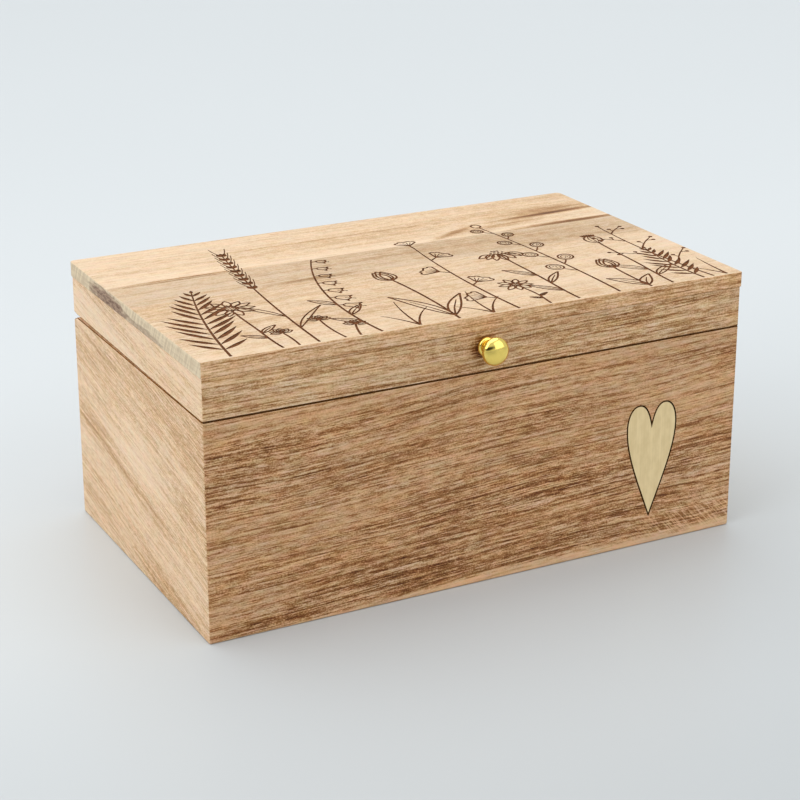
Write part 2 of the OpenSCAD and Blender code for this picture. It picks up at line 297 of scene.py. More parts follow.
class Finish(Nodes):
    """The nodes of a material."""

    def __init__(self, name):
        self.material = bpy.data.materials.new(name)
        self.material.use_nodes = True
        super().__init__(self.material.node_tree)

    def made(self, colour, roughness, relief, specular=0.5, metallic=0.0):
        """Feeds a Principled shader and returns the material."""
        values = {"Base Color": colour, "Roughness": roughness, "Specular IOR Level": specular,
                  "Metallic": metallic}
        if relief is not None:
            values["Normal"] = relief
        self.node("OutputMaterial", {"Surface": self.add("BsdfPrincipled", values)})
        return self.material


# How sawn and how worn wood look, as a tone between dark and pale
SAWN_TONE = 0.55
WORN_TONE = 0.46

# Patches of other hues in the acacia: cell of the noise, change of red, green and blue, and weight
HUES = (((9, 3.6, 6), (0.63, 0.13, -0.77), 0.44), ((70, 13, 20), (0.63, 0.13, -0.77), 0.22),
        ((8, 3.0, 5), (0.50, -0.80, 0.30), 0.28))


def acacia(name, colour, figure, side, tilt=0.0, shift=(0.0, 0.0, 0.0), shades=(), lines=(), wear=None,
           saw=None, wobble=6.0, broad=1.0, fine=1.0, ruled=1.0):
    """Oiled acacia: wide bands, streaks, lines, short dashes and open pores along the grain.

    Each layer of the grain makes the ground colour paler or darker by figure, its share in red, green
    and blue. shades are (along, up, half length, half height, turn, strength) in millimetres, darker
    where strength is negative, and wave with the grain. lines are such shades that stay straight, as
    along a glue joint. wear is (height, reach, strength): wood rubbed paler near that height. saw is
    such a patch with faint slanting saw marks. broad and fine weigh the layers, and a ruled below 1
    turns fine lines into mottling."""
    wood = Finish(name)
    flat = wood.place(side, tilt)
    moved = flat + shift
    sway = (wood.noise(moved, (150, 48, 60), 2.0, 0.35) - 0.5) * (2 * wobble)
    bend = wood.add("CombineXYZ", {"Y": sway})
    grain = moved + bend

    wide = wood.noise(grain, (300, 34, 60), 1.0)
    bands = wood.noise(grain, (210, 7.0, 24), 2.0, 0.6)
    streak = wood.noise(grain, (80, 2.1, 5.0), 3.0, 0.6)
    line = wood.noise(grain, (32, 0.72, 1.8), 2.0, 0.6)
    dash = wood.noise(grain, (3.6, 0.75, 1.2), 1.0)
    mottle = wood.noise(moved, (5.0, 7.5, 6.0))
    vessel = wood.noise(grain, (7.0, 0.42, 1.0), 1.0)
    grit = wood.noise(moved, (0.8, 0.55, 0.6), 1.0)
    vein = wood.math("ABSOLUTE", wood.noise(grain, (70, 2.6, 4.0), 2.0, 0.55) - 0.5)
    ground = (wide - 0.5) * (1.3 * broad) + (bands - 0.5) * broad
    for home, patches in ((flat + bend, shades), (flat, lines)):
        for *patch, strength in patches:
            shade = wood.band(wood.oval(home, *patch), 0.0, 1.0, strength, 0.0)
            ground = ground + shade * wood.band(streak, 0.35, 0.65, 0.6, 1.3)
    detail = wood.band(vessel, 0.56, 0.68) * -0.65 + wood.band(vein, 0.012, 0.05, -0.40, 0.10)
    loose = 1.0 - ruled
    for layer, weight in ((streak, 1.0), (line, 3.6 * ruled), (dash, 2.1), (mottle, 0.5 + 2.6 * loose),
                          (grit, 2.2 + 3.0 * loose)):
        detail = detail + (layer - 0.5) * weight
    tone = ground + detail * wood.band(ground, -0.45, 0.30, 1.48 * fine, 0.64 * fine)
    paler = wood.math("TANH", wood.math("MAXIMUM", tone, 0.0)) * 0.55
    tone = paler + wood.math("MINIMUM", tone, 0.0) * 1.15
    if saw is not None:
        *patch, turn, strength = saw
        slant = wood.add("Mapping", {"Vector": moved, "Rotation": (0, 0, turn)})
        marks = wood.band(wood.noise(slant, (7, 0.5, 20), 1.0), 0.44, 0.64)
        marks = marks * wood.band(wood.oval(flat, *patch), 0.2, 1.0, strength, 0.0)
        tone = tone + (SAWN_TONE - tone) * marks
    if wear is not None:
        level, reach, strength = wear
        height = wood.split(wood.add("TexCoord", out="Object"))[2]
        rough_edge = wood.noise(moved, (24, 3, 3)) * (2.0 * reach)
        rough_edge = rough_edge * wood.band(wood.split(flat)[0], -110, 0, 0.25, 1.0)
        worn = wood.math("ABSOLUTE", height - level) - rough_edge
        worn = wood.band(worn, -0.4 * reach, 0.5 * reach, strength, 0.0)
        tone = tone + (WORN_TONE - tone) * worn

    tones = tone * tuple(figure)
    for cell, hue, weight in HUES:
        weight = weight * (0.35 + 0.65 * min(1.0, fine))
        patchy = wood.noise(grain, cell, 2.0, 0.6) - 0.5
        tones = tones + patchy * tuple(weight * part for part in hue)
    gloss = wood.band(line, 0.2, 0.8, 0.50, 0.60) + wood.band(vessel, 0.55, 0.7, 0.0, 0.2)
    relief = wood.bump(wood.band(vessel, 0.56, 0.68, 1.0, 0.0), 0.06, 0.6)
    relief = wood.bump(line, 0.03, 0.5, relief)
    return wood.made(wood.stained(tuple(colour), tones), gloss, relief, 0.30)


def end_grain(name, colours, knots=()):
    """Sawn end of a board across its fibres: fine pores, faint rings and saw marks, with dark knots."""
    ground, shade, dark = colours
    wood = Finish(name)
    face = wood.place(RIGHT_SIDE)
    rings = wood.noise(face, (26, 1.3, 30), 3.0, 0.6, 0.4)
    speck = wood.noise(face, (0.55, 0.5, 4), 2.0, 0.6)
    saw = wood.noise(wood.place(RIGHT_SIDE, 0.5), (1.3, 14, 9))
    colour = wood.mix(wood.band(rings * 0.35 + saw * 0.65, 0.40, 0.60), shade, ground)
    colour = wood.mix(wood.band(speck, 0.60, 0.74, 0.0, 0.35), colour, shade)
    wander = wood.noise(face, (9, 2.0, 9), 3.0, 0.65)
    bark = wood.band(wood.noise(face, (3.4, 0.9, 4), 3.0, 0.7), 0.34, 0.66)
    rot = wood.mix(bark, dark, (0.7 * shade[0], 0.6 * shade[1], 0.62 * shade[2]))
    for centre_u, centre_v, half_u, half_v, strength in knots:
        away = (face - (centre_u, centre_v, 0.0)) * (1 / half_u, 1 / half_v, 0.0)
        edge = wood.length(away) + wander * 1.4
        colour = wood.mix(wood.band(edge, 1.25, 1.75, strength, 0.0), colour, rot)
    return wood.made(colour, 0.68, wood.bump(speck, 0.06, 0.6), 0.3)


def burnt_and_shaded_wood(name, colour):
    """Charred floor of an engraved line or of the pocket, uneven along its length; also the painted shade
    along the parting where the lid closes.
    """
    wood = Finish(name)
    char = wood.noise(wood.place(TOP_SIDE), (1.6, 1.6, 1.6), 3.0, 0.6)
    pale = tuple(min(1.0, 2.1 * part) for part in colour)
    shade = wood.mix(wood.band(char, 0.35, 0.72), colour, pale)
    return wood.made(shade, 0.9, wood.bump(char, 0.08, 0.7), 0.04)


def veneer(name, ground, shade):
    """Pale straight-grained veneer, its grain upright."""
    wood = Finish(name)
    flat = wood.place(((0, 0, 1), (1, 0, 0)))
    broad = wood.noise(flat, (90, 3.4, 9))
    line = wood.noise(flat, (30, 0.5, 3), 2.0, 0.55)
    fleck = wood.noise(flat, (2.4, 0.22, 1), 1.0)
    mottle = wood.noise(flat, (4.5, 2.6, 4))
    tone = broad * 0.35 + line * 0.3 + mottle * 0.35
    colour = wood.mix(wood.band(tone, 0.36, 0.64), shade, ground)
    colour = wood.mix(wood.band(fleck, 0.62, 0.78, 0.0, 0.22), colour, shade)
    return wood.made(colour, 0.44, wood.bump(line, 0.02, 0.5), 0.4)


def metal(name, colour, low, high, scratch=0.25):
    """Metal whose gloss runs from low to high, with fine scratches."""
    finish = Finish(name)
    point = finish.place(FRONT_SIDE)
    lines = finish.noise(point, (2.2, 0.25, 0.25))
    smear = finish.noise(point, (3.1, 3.1, 3.1))
    gloss = finish.band(smear * 0.7 + lines * 0.3, 0.3, 0.7, low, high)
    tarnish = tuple(0.93 * part for part in colour)
    shade = finish.mix(finish.band(smear, 0.45, 0.75), colour, tarnish)
    return finish.made(shade, gloss, finish.bump(lines, 0.004, scratch), metallic=1.0)


def floor_finish(colour):
    """Smooth pale floor that mirrors the box a little, with painted shade: its colour darkens slightly
    towards the viewer as the light falls off.
    """
    finish = Finish("pale_floor")
    flat = finish.place(TOP_SIDE)
    cloud = finish.noise(flat, (900, 900, 900), 1.0)
    right, ahead, _ = finish.split(flat)
    # Painted shade: the floor's colour runs darker towards the viewer, down to 0.63 of the floor colour
    away = finish.band(ahead + right * -0.03, -600, 330)
    near = finish.mix(away, tuple(0.63 * part for part in colour), colour)
    shade = finish.mix(finish.band(cloud, 0.3, 0.7), near, (0.985, 0.985, 0.985), "MULTIPLY")
    return finish.made(shade, finish.band(cloud, 0.3, 0.7, 0.30, 0.36), None, 0.15)


# Meshes

def added(name, data):
    """A new object in the scene."""
    thing = bpy.data.objects.new(name, data)
    bpy.context.scene.collection.objects.link(thing)
    return thing


def merged_copy(node):
    """A CAD node's mesh with its doubles merged and its flat faces made whole."""
    mesh = bmesh.new()
    mesh.from_mesh(frame["nodes"][node].data)
    bmesh.ops.remove_doubles(mesh, verts=mesh.verts, dist=0.002 * MM)
    bmesh.ops.dissolve_limit(mesh, angle_limit=math.radians(0.4), verts=mesh.verts, edges=mesh.edges)
    return mesh


def ease_edges(mesh, edges, offset, segments=3):
    """Rounds edges, and returns the new faces."""
    if not edges or offset <= 0:
        return []
    return bmesh.ops.bevel(mesh, geom=edges, offset=offset, offset_type="OFFSET", segments=segments,
                           profile=0.5, affect="EDGES", material=-1, clamp_overlap=True)["faces"]


def finish_piece(mesh, name, node, materials, sharp=32.0):
    """Makes the mesh an object that rides with its CAD node's body and stands for the node."""
    data = bpy.data.meshes.new(name)
    mesh.to_mesh(data)
    mesh.free()
    for material in materials:
        data.materials.append(material)
    data.shade_smooth()
    data.set_sharp_from_angle(angle=math.radians(sharp))
    piece = added(name, data)
    weights = piece.modifiers.new("Weighted normals", "WEIGHTED_NORMAL")
    weights.keep_sharp = True
    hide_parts(node)
    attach(piece, frame["nodes"][node]["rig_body"])
    return piece


def side_place(face):
    """Says whether an upright face is an outer or an inner side of the box, or neither."""
    heights = [vert.co.z for vert in face.verts]
    if abs(face.normal.z) > 0.02 or max(heights) - min(heights) <= 8 * MM:
        return None
    centre = face.calc_center_median()
    across, axis = max((abs(centre.x) - HALF_W, 0), (abs(centre.y) - HALF_D, 1))
    outward = face.normal[axis] * centre[axis] > 0
    if across > -2.5 * MM and outward:
        return "outer"
    if abs(across + WALL_T) < 2 * CLOSE and not outward:
        return "inner"
    return None


def board_edges(mesh, side):
    """Long edges where a side of that kind meets the top, the bottom or a bevel of its board."""
    low = min(vert.co.z for vert in mesh.verts) + MARGIN
    high = max(vert.co.z for vert in mesh.verts) - MARGIN
    found = []
    for edge in mesh.edges:
        if len(edge.link_faces) != 2 or edge.calc_face_angle(0.0) < math.radians(20):
            continue
        places = [side_place(face) for face in edge.link_faces]
        flat = [face for face in edge.link_faces if abs(face.normal.z) > 0.5]
        if side in places and flat and all(not low < vert.co.z < high for vert in edge.verts):
            found.append(edge)
    return found


def meeting_edges(edges, parting):
    """The edges near the height where base and lid meet."""
    level = parting + 0.2 * MM
    return [edge for edge in edges if all(abs(vert.co.z - level) < MARGIN for vert in edge.verts)]


def eased_board(node, look, parting):
    """A board with its long edges rounded; those at the parting height get material 1, a darker wood that
    paints the shade of the gap where the lid closes.
    """
    mesh = merged_copy(node)
    outer = board_edges(mesh, "outer")
    feet = [edge for edge in outer if all(vert.co.z < MM for vert in edge.verts)]
    others = meeting_edges(outer, parting) + feet
    ease_edges(mesh, [edge for edge in outer if edge not in others], look.ease)
    ease_edges(mesh, [edge for edge in feet if edge.is_valid], look.foot_ease)
    ease_edges(mesh, board_edges(mesh, "inner"), look.inner_ease, 2)
    # The eased faces at the parting carry painted shade, a little narrower at the sides and the back than at
    # the front
    wide = 1.0 if "front" in node else 0.9
    meeting = meeting_edges(board_edges(mesh, "outer"), parting)
    for face in ease_edges(mesh, meeting, wide * look.parting_ease):
        face.material_index = 1
    return mesh


# Engraving

def spot(base, turn, along, side=0.0):
    """A point along a direction and to the right of it; a turn of 0 looks towards the hinges."""
    across, ahead = math.sin(turn), math.cos(turn)
    return Vector((base[0] + along * across + side * ahead, base[1] + along * ahead - side * across))


class Pen:
    """Draws the plants as small overlapping outlines, in millimetres on the lid's face."""

    def __init__(self, look):
        self.line = look.line / MM
        self.dice = random.Random(look.seed)
        self.shapes = []

    def vary(self, value, part=0.12):
        """The value, a little more or less."""
        return value * (1 + self.dice.uniform(-part, part))

    def oval(self, centre, turn, long, wide, steps):
        """Points round an oval, back to the first."""
        turns = [2 * math.pi * step / steps for step in range(steps + 1)]
        return [spot(centre, turn, long / 2 * math.cos(a), wide / 2 * math.sin(a)) for a in turns]

    def blot(self, centre, turn, long, wide, steps=8):
        """A filled oval."""
        self.shapes.append(self.oval(centre, turn, long, wide, steps)[:-1])

    def ring(self, centre, turn, long, wide, weight=0.8, steps=14):
        """An outlined oval."""
        self.stroke(self.oval(centre, turn, long, wide, steps), weight)

    def stroke(self, points, start=1.0, end=None):
        """A line whose width runs from start to end times the line width."""
        end = start if end is None else end
        count = len(points) - 1
        for step, (here, there) in enumerate(zip(points, points[1:])):
            ahead = (there - here).normalized()
            side = Vector((ahead.y, -ahead.x))
            first = self.line / 2 * (start + (end - start) * step / count)
            last = self.line / 2 * (start + (end - start) * (step + 1) / count)
            over = ahead * 0.06
            self.shapes.append([here - over + side * first, there + over + side * last,
                                there + over - side * last, here - over - side * first])

    def stem(self, base, turn, length, bend, steps, start=1.1, end=0.6, sway=0.0, bare=0):
        """Draws a stem that turns by bend along its length, bar its last bare steps.

        Gives its points and headings."""
        points, headings = [Vector(base)], [turn]
        for step in range(steps):
            part = (step + 0.5) / steps
            heading = turn + bend * part + sway * math.sin(2 * math.pi * part)
            points.append(spot(points[-1], heading, length / steps))
            headings.append(heading)
        self.stroke(points[:steps + 1 - bare], start, end)
        return points, headings

    def leaf(self, base, turn, long, wide, filled=False, weight=0.75, bow=0.0, rib=False):
        """A pointed leaf or petal, outlined or filled, whose tip bows to one side."""
        steps = 8
        sides = []
        for side in (-1, 1):
            sides.append([spot(base, turn, long * step / steps,
                               side * wide / 2 * math.sin(math.pi * (step / steps) ** 0.85)
                               + bow * (step / steps) ** 2) for step in range(steps + 1)])
        if filled:
            self.shapes.append(sides[0] + sides[1][-2:0:-1])
            return
        for side in sides:
            self.stroke(side, weight)
        if rib:
            middle = [spot(base, turn, long * part, bow * part * part) for part in (0.0, 0.35, 0.7)]
            self.stroke(middle, weight, 0.4)

    def leaves(self, points, headings, homes, lean, long, wide, bow, weight=0.75, rib=True):
        """Leaves beside a stem: homes are (step, side)."""
        for step, side in homes:
            self.leaf(points[step], headings[step] + side * lean, long, wide, weight=weight, bow=side * bow,
                      rib=rib)


def fern(pen, base, turn, height, bend, pairs):
    """A frond with slim leaflets that shorten towards its tip."""
    steps = 3 * pairs
    points, headings = pen.stem(base, turn, height, bend, steps)
    for pair in range(1, pairs):
        step = 3 * pair + 1
        part = step / steps
        long = height * 0.24 * math.sin(math.pi * (0.20 + 0.78 * part)) ** 0.8 + 1.5
        for side in (-1, 1):
            lean = headings[step] + side * pen.vary(1.0 - 0.35 * part)
            pen.leaf(points[step], lean, pen.vary(long), 1.5 + 0.05 * long, True, bow=-side * 0.10 * long)
    pen.leaf(points[-1], headings[-1], 4.0, 1.6, True)


def daisy(pen, base, turn, height, bend, petals, size):
    """An open flower with outlined petals round a dotted heart."""
    points, headings = pen.stem(base, turn, height, bend, 16, 1.0, 0.85, 0.06, 1)
    middle = spot(points[-1], headings[-1], 0.2 * size)
    for petal in range(petals):
        way = headings[-1] + 2 * math.pi * petal / petals + pen.dice.uniform(-0.08, 0.08)
        pen.leaf(spot(middle, way, 0.26 * size), way, pen.vary(0.74 * size, 0.08), 0.34 * size)
    pen.ring(middle, 0.0, 0.46 * size, 0.46 * size)
    for dot in range(7):
        way = 2 * math.pi * dot / 6
        reach = 0.0 if dot == 6 else 0.13 * size
        pen.blot(spot(middle, way, reach), way, 1.0, 0.9)
    pen.leaves(points, headings, ((4, -1), (6, 1)), 0.75, 0.22 * height, 0.06 * height, 1.2)


def wheat(pen, base, turn, height, bend):
    """An ear of corn: paired filled grains with long beards."""
    points, headings = pen.stem(base, turn, height, bend, 40, 1.0)
    for step in range(24, 41, 2):
        for side in (-1, 1):
            lean = headings[step] + side * 0.42
            start = spot(points[step], headings[step], 0.0, side * 0.4)
            pen.leaf(start, lean, pen.vary(5.2, 0.06), 2.3, True, bow=-side * 0.7)
            tip = spot(start, lean, 5.0, -side * 0.6)
            end = spot(tip, lean - side * 0.2, pen.vary(8.0))
            pen.stroke([tip, spot(tip, lean - side * 0.14, 4.0), end], 0.5, 0.35)
    pen.leaf(points[-1], headings[-1], 5.4, 2.1, True)
    pen.leaves(points, headings, ((6, 1), (11, -1)), 0.5, 0.24 * height, 2.6, 5.0, 0.7, False)


def grass(pen, base, blades):
    """Blades that fan out of one root."""
    for lean, length, bend in blades:
        pen.stem(base, lean, pen.vary(length), bend, 9, 1.05, 0.35)


def clover(pen, base, turn, height, bend):
    """Three round leaflets on a stalk."""
    points, headings = pen.stem(base, turn, height, bend, 8, 0.9, 0.8)
    for side in (-1.25, 0.0, 1.25):
        way = headings[-1] + side
        for half in (-1, 1):
            pen.leaf(points[-1], way + half * 0.26, 5.0, 3.4, weight=0.65)
        pen.stroke([points[-1], spot(points[-1], way, 3.0)], 0.5, 0.4)


def bell(pen, base, turn, size):
    """One hanging bell with a scalloped mouth."""
    half = ((0.0, 0.0), (0.16, 0.26), (0.50, 0.34), (0.82, 0.40), (1.06, 0.60), (0.94, 0.30), (1.10, 0.0))
    for side in (-1, 1):
        pen.stroke([spot(base, turn, along * size, side * across * size) for along, across in half], 0.75)
    pen.stroke([spot(base, turn, 0.7 * size), spot(base, turn, 1.3 * size)], 0.5)
    pen.blot(spot(base, turn, 1.36 * size), turn, 0.9, 0.9)


def bellflower(pen, base, turn, height, bend, bells, side):
    """An arching stem with bells along its outer half and narrow leaves below."""
    points, headings = pen.stem(base, turn, height, bend, 30)
    for number in range(bells):
        step = 29 - number * 3
        way = headings[step] + side * (1.15 + 0.08 * number)
        hold = spot(points[step], way, 2.2)
        pen.stroke([points[step], hold], 0.7, 0.6)
        bell(pen, hold, way + side * 0.5, 4.2 + 0.45 * number)
    pen.leaves(points, headings, ((4, -1), (7, 1), (11, -1)), 0.6, 14.0, 3.8, 2.0)


def tulip(pen, base, turn, height, bend):
    """A closed cup of three petals over two broad leaves."""
    points, headings = pen.stem(base, turn, height, bend, 14, end=1.0)
    top, way = points[-1], headings[-1]
    for side in (-1, 1):
        petal = spot(top, way, 0.0, side * 0.3)
        pen.leaf(petal, way + side * 0.30, 13.0, 6.4, weight=0.85, bow=-side * 2.2)
        vein = [spot(top, way, 2.0 + 2.2 * part, side * (2.2 + 0.35 * part)) for part in range(4)]
        pen.stroke(vein, 0.5, 0.35)
    pen.leaf(top, way, 14.0, 6.0, weight=0.8)
    for side, long in ((-1, 0.62), (1, 0.50)):
        pen.leaves(points, headings, ((1, side),), 0.32, long * height, 5.6, 5.0, 0.85)


def honesty(pen, base, turn, height, bend):
    """Round flat seed discs on short side branches."""
    points, headings = pen.stem(base, turn, height, bend, 30)
    for number, step in enumerate(range(9, 30, 3)):
        side = 1 if number % 2 else -1
        way = headings[step] + side * 0.85
        stalk, ways = pen.stem(points[step], way, pen.vary(7.5 - 0.5 * number), -side * 0.35, 4, 0.8)
        size = pen.vary(8.4 - 0.45 * number, 0.05)
        centre = spot(stalk[-1], ways[-1], size / 2)
        pen.ring(centre, ways[-1], size, 0.86 * size)
        pen.ring(centre, ways[-1], 0.66 * size, 0.54 * size, 0.45, 10)
        for seed in (-1, 0, 1):
            home = spot(centre, ways[-1], 0.12 * size * seed, 0.1 * size * (1 - seed * seed))
            pen.blot(home, ways[-1], 1.1, 0.7)
    pen.ring(spot(points[-1], headings[-1], 2.6), headings[-1], 5.2, 4.4)


def seed_head(pen, base, turn, height, bend):
    """A ribbed capsule under a toothed cap."""
    points, headings = pen.stem(base, turn, height, bend, 16, 1.05, 0.9, 0.05)
    top, way = points[-1], headings[-1]
    pen.ring(spot(top, way, 5.2), way, 10.4, 8.2, 0.85)
    for side in (-1, 0, 1):
        bulge = [side * 1.9 * math.sin(0.62 * part + 0.35) for part in range(5)]
        pen.stroke([spot(top, way, 1.0 + 2.2 * part, out) for part, out in enumerate(bulge)], 0.5)
    for tooth in range(-3, 4):
        pen.leaf(spot(top, way, 10.4, tooth * 0.75), way + tooth * 0.2, 2.6, 1.3, True)
    pen.stroke([spot(top, way, 10.6, -3.2), spot(top, way, 10.2, 0.0), spot(top, way, 10.6, 3.2)], 1.1)
    pen.leaves(points, headings, ((3, 1), (5, -1)), 0.7, 0.27 * height, 4.2, 2.5)


def berries(pen, base, turn, height, bend):
    """A forked twig whose tips carry filled berries."""
    points, headings = pen.stem(base, turn, height, bend, 20, 1.0)
    for number, step in enumerate(range(5, 20, 3)):
        side = -1 if number % 2 else 1
        way = headings[step] + side * 0.62
        long = pen.vary(0.26 * height * (1.15 - step / 24))
        twig, ways = pen.stem(points[step], way, long, side * 0.3, 6, 0.8, 0.55)
        for at, lean in ((3, -side * 0.9), (5, side * 0.9), (6, 0.0)):
            hold = spot(twig[at], ways[at] + lean, 2.4)
            pen.stroke([twig[at], hold], 0.55)
            pen.blot(spot(hold, ways[at] + lean, 1.0), 0.0, 2.1, 2.1, 10)
    pen.blot(spot(points[-1], headings[-1], 0.8), 0.0, 2.2, 2.2, 10)


def coneflower(pen, base, turn, height, bend, size):
    """A dotted dome over drooping petals."""
    points, headings = pen.stem(base, turn, height, bend, 18, 1.1, 0.9, 0.05)
    top, way = points[-1], headings[-1]
    for petal in range(-3, 4):
        start = spot(top, way, 0.10 * size, petal * 0.13 * size)
        long = pen.vary(0.95 * size, 0.06) - 0.06 * size * abs(petal)
        pen.leaf(start, way + math.pi - petal * 0.42, long, 0.34 * size, weight=0.8, bow=petal * 0.05 * size)
    for row, (count, reach) in enumerate(((5, 0.46), (4, 0.36), (3, 0.20))):
        for dot in range(count):
            side = (dot - (count - 1) / 2) * 2 * reach / count * size
            pen.blot(spot(top, way, (0.12 + 0.19 * row) * size, side), way, 1.7, 1.3)
    pen.leaves(points, headings, ((3, -1), (6, 1), (9, -1)), 0.55, 0.24 * height, 3.6, 2.0, 0.8)


def ginkgo(pen, base, turn, height, bend):
    """Fan leaves that alternate on a thin twig."""
    points, headings = pen.stem(base, turn, height, bend, 24)
    for number, step in enumerate((4, 9, 14, 19, 24)):
        side = 1 if number % 2 else -1
        way = headings[step] + side * (0.85 if step < 24 else 0.1)
        hold = spot(points[step], way, pen.vary(4.6))
        pen.stroke([points[step], hold], 0.8, 0.7)
        size = pen.vary(9.5 - 0.5 * number, 0.05)
        rim = []
        for ray in range(-5, 6):
            notch = 0.10 * (ray % 2) + 0.16 * (ray == 0)
            rim.append(spot(hold, way + 0.17 * ray, size * (1.0 - notch)))
        pen.stroke([hold, *rim, hold], 0.8)
        for ray in (-3, -1, 1, 3):
            pen.stroke([hold, spot(hold, way + 0.17 * ray, 0.72 * size)], 0.5, 0.35)


# The plants along the front of the lid: kind, place of the foot along the edge, and the rest
FOOT = -74.2
PLANTS = (
    (fern, -113.0, 0.10, 82, 0.20, 13),
    (daisy, -91.0, -0.10, 52, 0.22, 11, 10.5),
    (wheat, -75.5, 0.02, 124, 0.14),
    (clover, -84.0, 0.10, 17, -0.2),
    (clover, -64.0, -0.15, 25, 0.3),
    (clover, -57.5, 0.20, 14, 0.2),
    (bellflower, -48.0, -0.14, 104, 0.60, 7, 1),
    (grass, -31.0, ((-0.35, 22, -0.3), (0.0, 32, 0.25), (0.35, 24, 0.5))),
    (tulip, -13.0, 0.08, 58, -0.18),
    (grass, 3.0, ((-0.45, 17, -0.4), (-0.05, 27, 0.3), (0.35, 21, 0.5))),
    (ginkgo, 15.0, -0.08, 96, 0.20),
    (daisy, 30.0, 0.10, 27, -0.2, 9, 8.0),
    (coneflower, 44.0, -0.04, 70, 0.14, 10.5),
    (honesty, 64.0, 0.04, 112, -0.16),
    (tulip, 80.0, -0.06, 30, 0.16),
    (seed_head, 91.0, 0.02, 66, 0.10),
    (fern, 107.0, -0.12, 48, 0.32, 10),
    (berries, 112.0, -0.16, 88, 0.26),
    (grass, 119.0, ((-0.40, 17, -0.3), (0.02, 24, 0.1))),
)


def meadow(look):
    """The outlines of all the plants."""
    pen = Pen(look)
    for plant, place, *rest in PLANTS:
        plant(pen, (place, FOOT), *rest)
    return pen.shapes


def mitre(before, here, after, eases):
    """How far a corner of an outline that runs anticlockwise goes in when its two sides do."""
    ways = [(here - before).normalized(), (after - here).normalized()]
    normals = [Vector((-way.y, way.x)) for way in ways]
    cross = normals[0].x * normals[1].y - normals[0].y * normals[1].x
    if abs(cross) < 1e-3:
        return (normals[0] + normals[1]).normalized() * eases[0]
    return Vector((eases[0] * normals[1].y - eases[1] * normals[0].y,
                   eases[1] * normals[0].x - eases[0] * normals[1].x)) / cross


def inset_outline(node, outer, joint):
    """Corners of a stave's top face, moved in by its eases, and how far each one moved."""
    board = merged_copy(node)
    face = max(board.faces, key=lambda side: (round(side.normal.z, 2), side.calc_center_median().z))
    corners = [loop.vert.co.xy.copy() for loop in face.loops]
    board.free()
    joint_rows = [corner.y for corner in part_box(node) if abs(corner.y) < HALF_D - 5 * MM]
    afters = corners[1:] + corners[:1]
    eases = []
    for here, after in zip(corners, afters):
        on_joint = any(abs(here.y - row) < 1e-6 and abs(after.y - row) < 1e-6 for row in joint_rows)
        eases.append(joint if on_joint else outer)
    moves = [mitre(corners[step - 1], here, afters[step], (eases[step - 1], eases[step]))
             for step, here in enumerate(corners)]
    return [here + move for here, move in zip(corners, moves)], moves


def rim_move(point, outline, moves):
    """The move of the outline at a point on it, which may lie between two corners."""
    best, found = 1.0, moves[0]
    for step, here in enumerate(outline):
        there = outline[(step + 1) % len(outline)]
        way = there - here
        part = max(0.0, min(1.0, (point - here).dot(way) / way.length_squared))
        away = (here + way * part - point).length
        if away < best:
            best, found = away, moves[step].lerp(moves[(step + 1) % len(outline)], part)
    return found


def inside(point, ring):
    """Says whether a point lies in a closed outline."""
    odd = False
    for here, there in zip(ring, ring[1:] + ring[:1]):
        if (here.y > point.y) != (there.y > point.y):
            odd ^= point.x < here.x + (point.y - here.y) * (there.x - here.x) / (there.y - here.y)
    return odd


# Side of the squares, in millimetres, by which the strokes near a point are found
SQUARE = 4


def cut_face(mesh, outline, shapes, height):
    """Fills the outline with flat faces at a height, and returns those that lie in the shapes."""
    points = [corner / MM for corner in outline]
    low = min(point.y for point in points) - 1
    high = max(point.y for point in points) + 1
    rings = [list(range(len(points)))]
    near = {}
    for shape in shapes:
        across, ahead = [point.x for point in shape], [point.y for point in shape]
        if min(ahead) > high or max(ahead) < low:
            continue
        rings.append(list(range(len(points), len(points) + len(shape))))
        points.extend(shape)
        for column in range(int(min(across) // SQUARE), int(max(across) // SQUARE) + 1):
            for row in range(int(min(ahead) // SQUARE), int(max(ahead) // SQUARE) + 1):
                near.setdefault((column, row), []).append(shape)
    places, _, faces, _, _, sources = geometry.delaunay_2d_cdt(points, [], rings, 1, 0.004)
    corners = [mesh.verts.new((place.x * MM, place.y * MM, height)) for place in places]
    cut = []
    for face, source in zip(faces, sources):
        if 0 in source:
            made = mesh.faces.new([corners[corner] for corner in face])
            centre = sum((places[corner] for corner in face), Vector((0, 0))) / len(face)
            shapes_here = near.get((int(centre.x // SQUARE), int(centre.y // SQUARE)), ())
            if any(inside(centre, shape) for shape in shapes_here):
                cut.append(made)
    bmesh.ops.delete(mesh, geom=[vert for vert in mesh.verts if not vert.link_faces], context="VERTS")
    return cut


